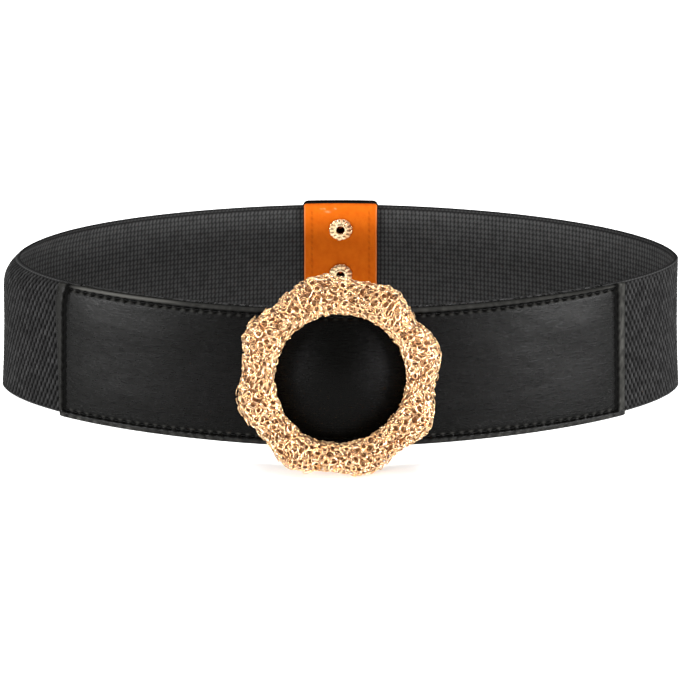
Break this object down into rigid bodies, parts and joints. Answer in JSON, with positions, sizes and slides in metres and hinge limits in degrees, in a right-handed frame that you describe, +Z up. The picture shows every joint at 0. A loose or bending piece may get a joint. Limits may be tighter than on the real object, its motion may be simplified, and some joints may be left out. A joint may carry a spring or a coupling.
{
  "type": "elastic stretch belt",
  "caption": "Wide elastic waist belt in a closed loop, with a leather front panel, a round wire-work ring buckle and a snapped rear tab.",
  "frame": {"origin": "on the standing surface, at the centre of the belt's box in plan", "axes": "+Z up, -Y towards the front with the ring buckle, +X along the width of the loop"},
  "size_m": [0.3044, 0.187, 0.0875],
  "materials": {
    "elastic": "charcoal woven elastic with fine ribs",
    "leather": "soft black leather with a fine grain and a low sheen",
    "suede": "orange suede",
    "gold_wire": "pale gold wire, bright",
    "gold_snap": "pale gold pressed metal, lightly tarnished"
  },
  "bodies": {
    "root": {"elastic_left": "elastic", "elastic_right": "elastic", "front_panel": "leather", "buckle_ring": "gold_wire", "tab_outer_leather": "leather", "tab_inner_leather": "leather", "tab_inner_lining": "suede", "snap_upper": "gold_snap", "snap_lower": "gold_snap"}
  },
  "joints": []
}
